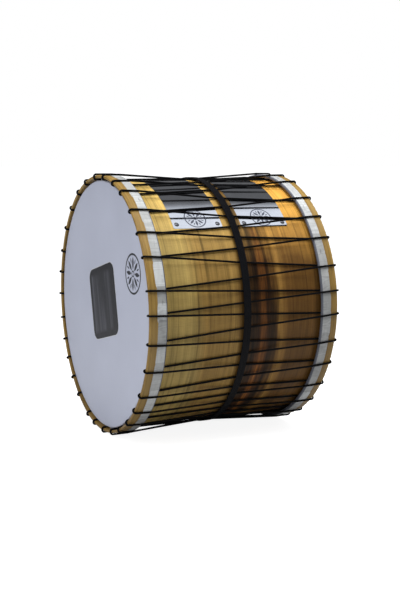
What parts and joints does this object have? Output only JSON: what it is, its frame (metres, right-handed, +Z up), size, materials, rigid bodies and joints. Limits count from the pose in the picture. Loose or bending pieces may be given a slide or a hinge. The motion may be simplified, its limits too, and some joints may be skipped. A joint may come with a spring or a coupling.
{
  "type": "rope-tensioned bass drum",
  "caption": "Two-headed bass drum on its side: bent wood shell, film heads over wooden hoops, laced black cord, waist strap, steel wear plates and a beater patch.",
  "frame": {"origin": "middle of the drum: on the axis, half-way between the two hoops' outer edges", "axes": "+Y along the drum's axis from the struck head to the rear head, +Z up as the drum lies on its side, plates on top"},
  "size_m": [0.5282, 0.4066, 0.5275],
  "materials": {
    "shell_wood": "clear satin varnish over pale sapwood and brown heartwood",
    "ring_wood": "bare bent wood",
    "hoop_wood": "clear satin varnish",
    "head_film": "smooth grey drum film with a soft sheen",
    "staple_steel": "bright wire",
    "cord_black": "tight round braid",
    "strap_black": "herringbone webbing",
    "slide_steel": "dull plated steel",
    "plate_steel": "polished sheet steel with a fine rolling grain",
    "screw_steel": "polished dome heads",
    "patch_black": "satin self-adhesive patch with a faint vertical grain"
  },
  "bodies": {
    "root": {"shell": "shell_wood", "front_inner_ring": "ring_wood", "rear_inner_ring": "ring_wood", "front_hoop": "hoop_wood", "rear_hoop": "hoop_wood", "front_head": "head_film", "rear_head": "head_film", "front_collar_staples": "staple_steel", "rear_collar_staples": "staple_steel", "lacing_cord": "cord_black", "cord_knot": "cord_black", "waist_strap": "strap_black", "strap_slide": "slide_steel", "front_plate": "plate_steel", "rear_plate": "plate_steel", "front_plate_screws": "screw_steel", "rear_plate_screws": "screw_steel", "beater_patch": "patch_black"}
  },
  "joints": []
}
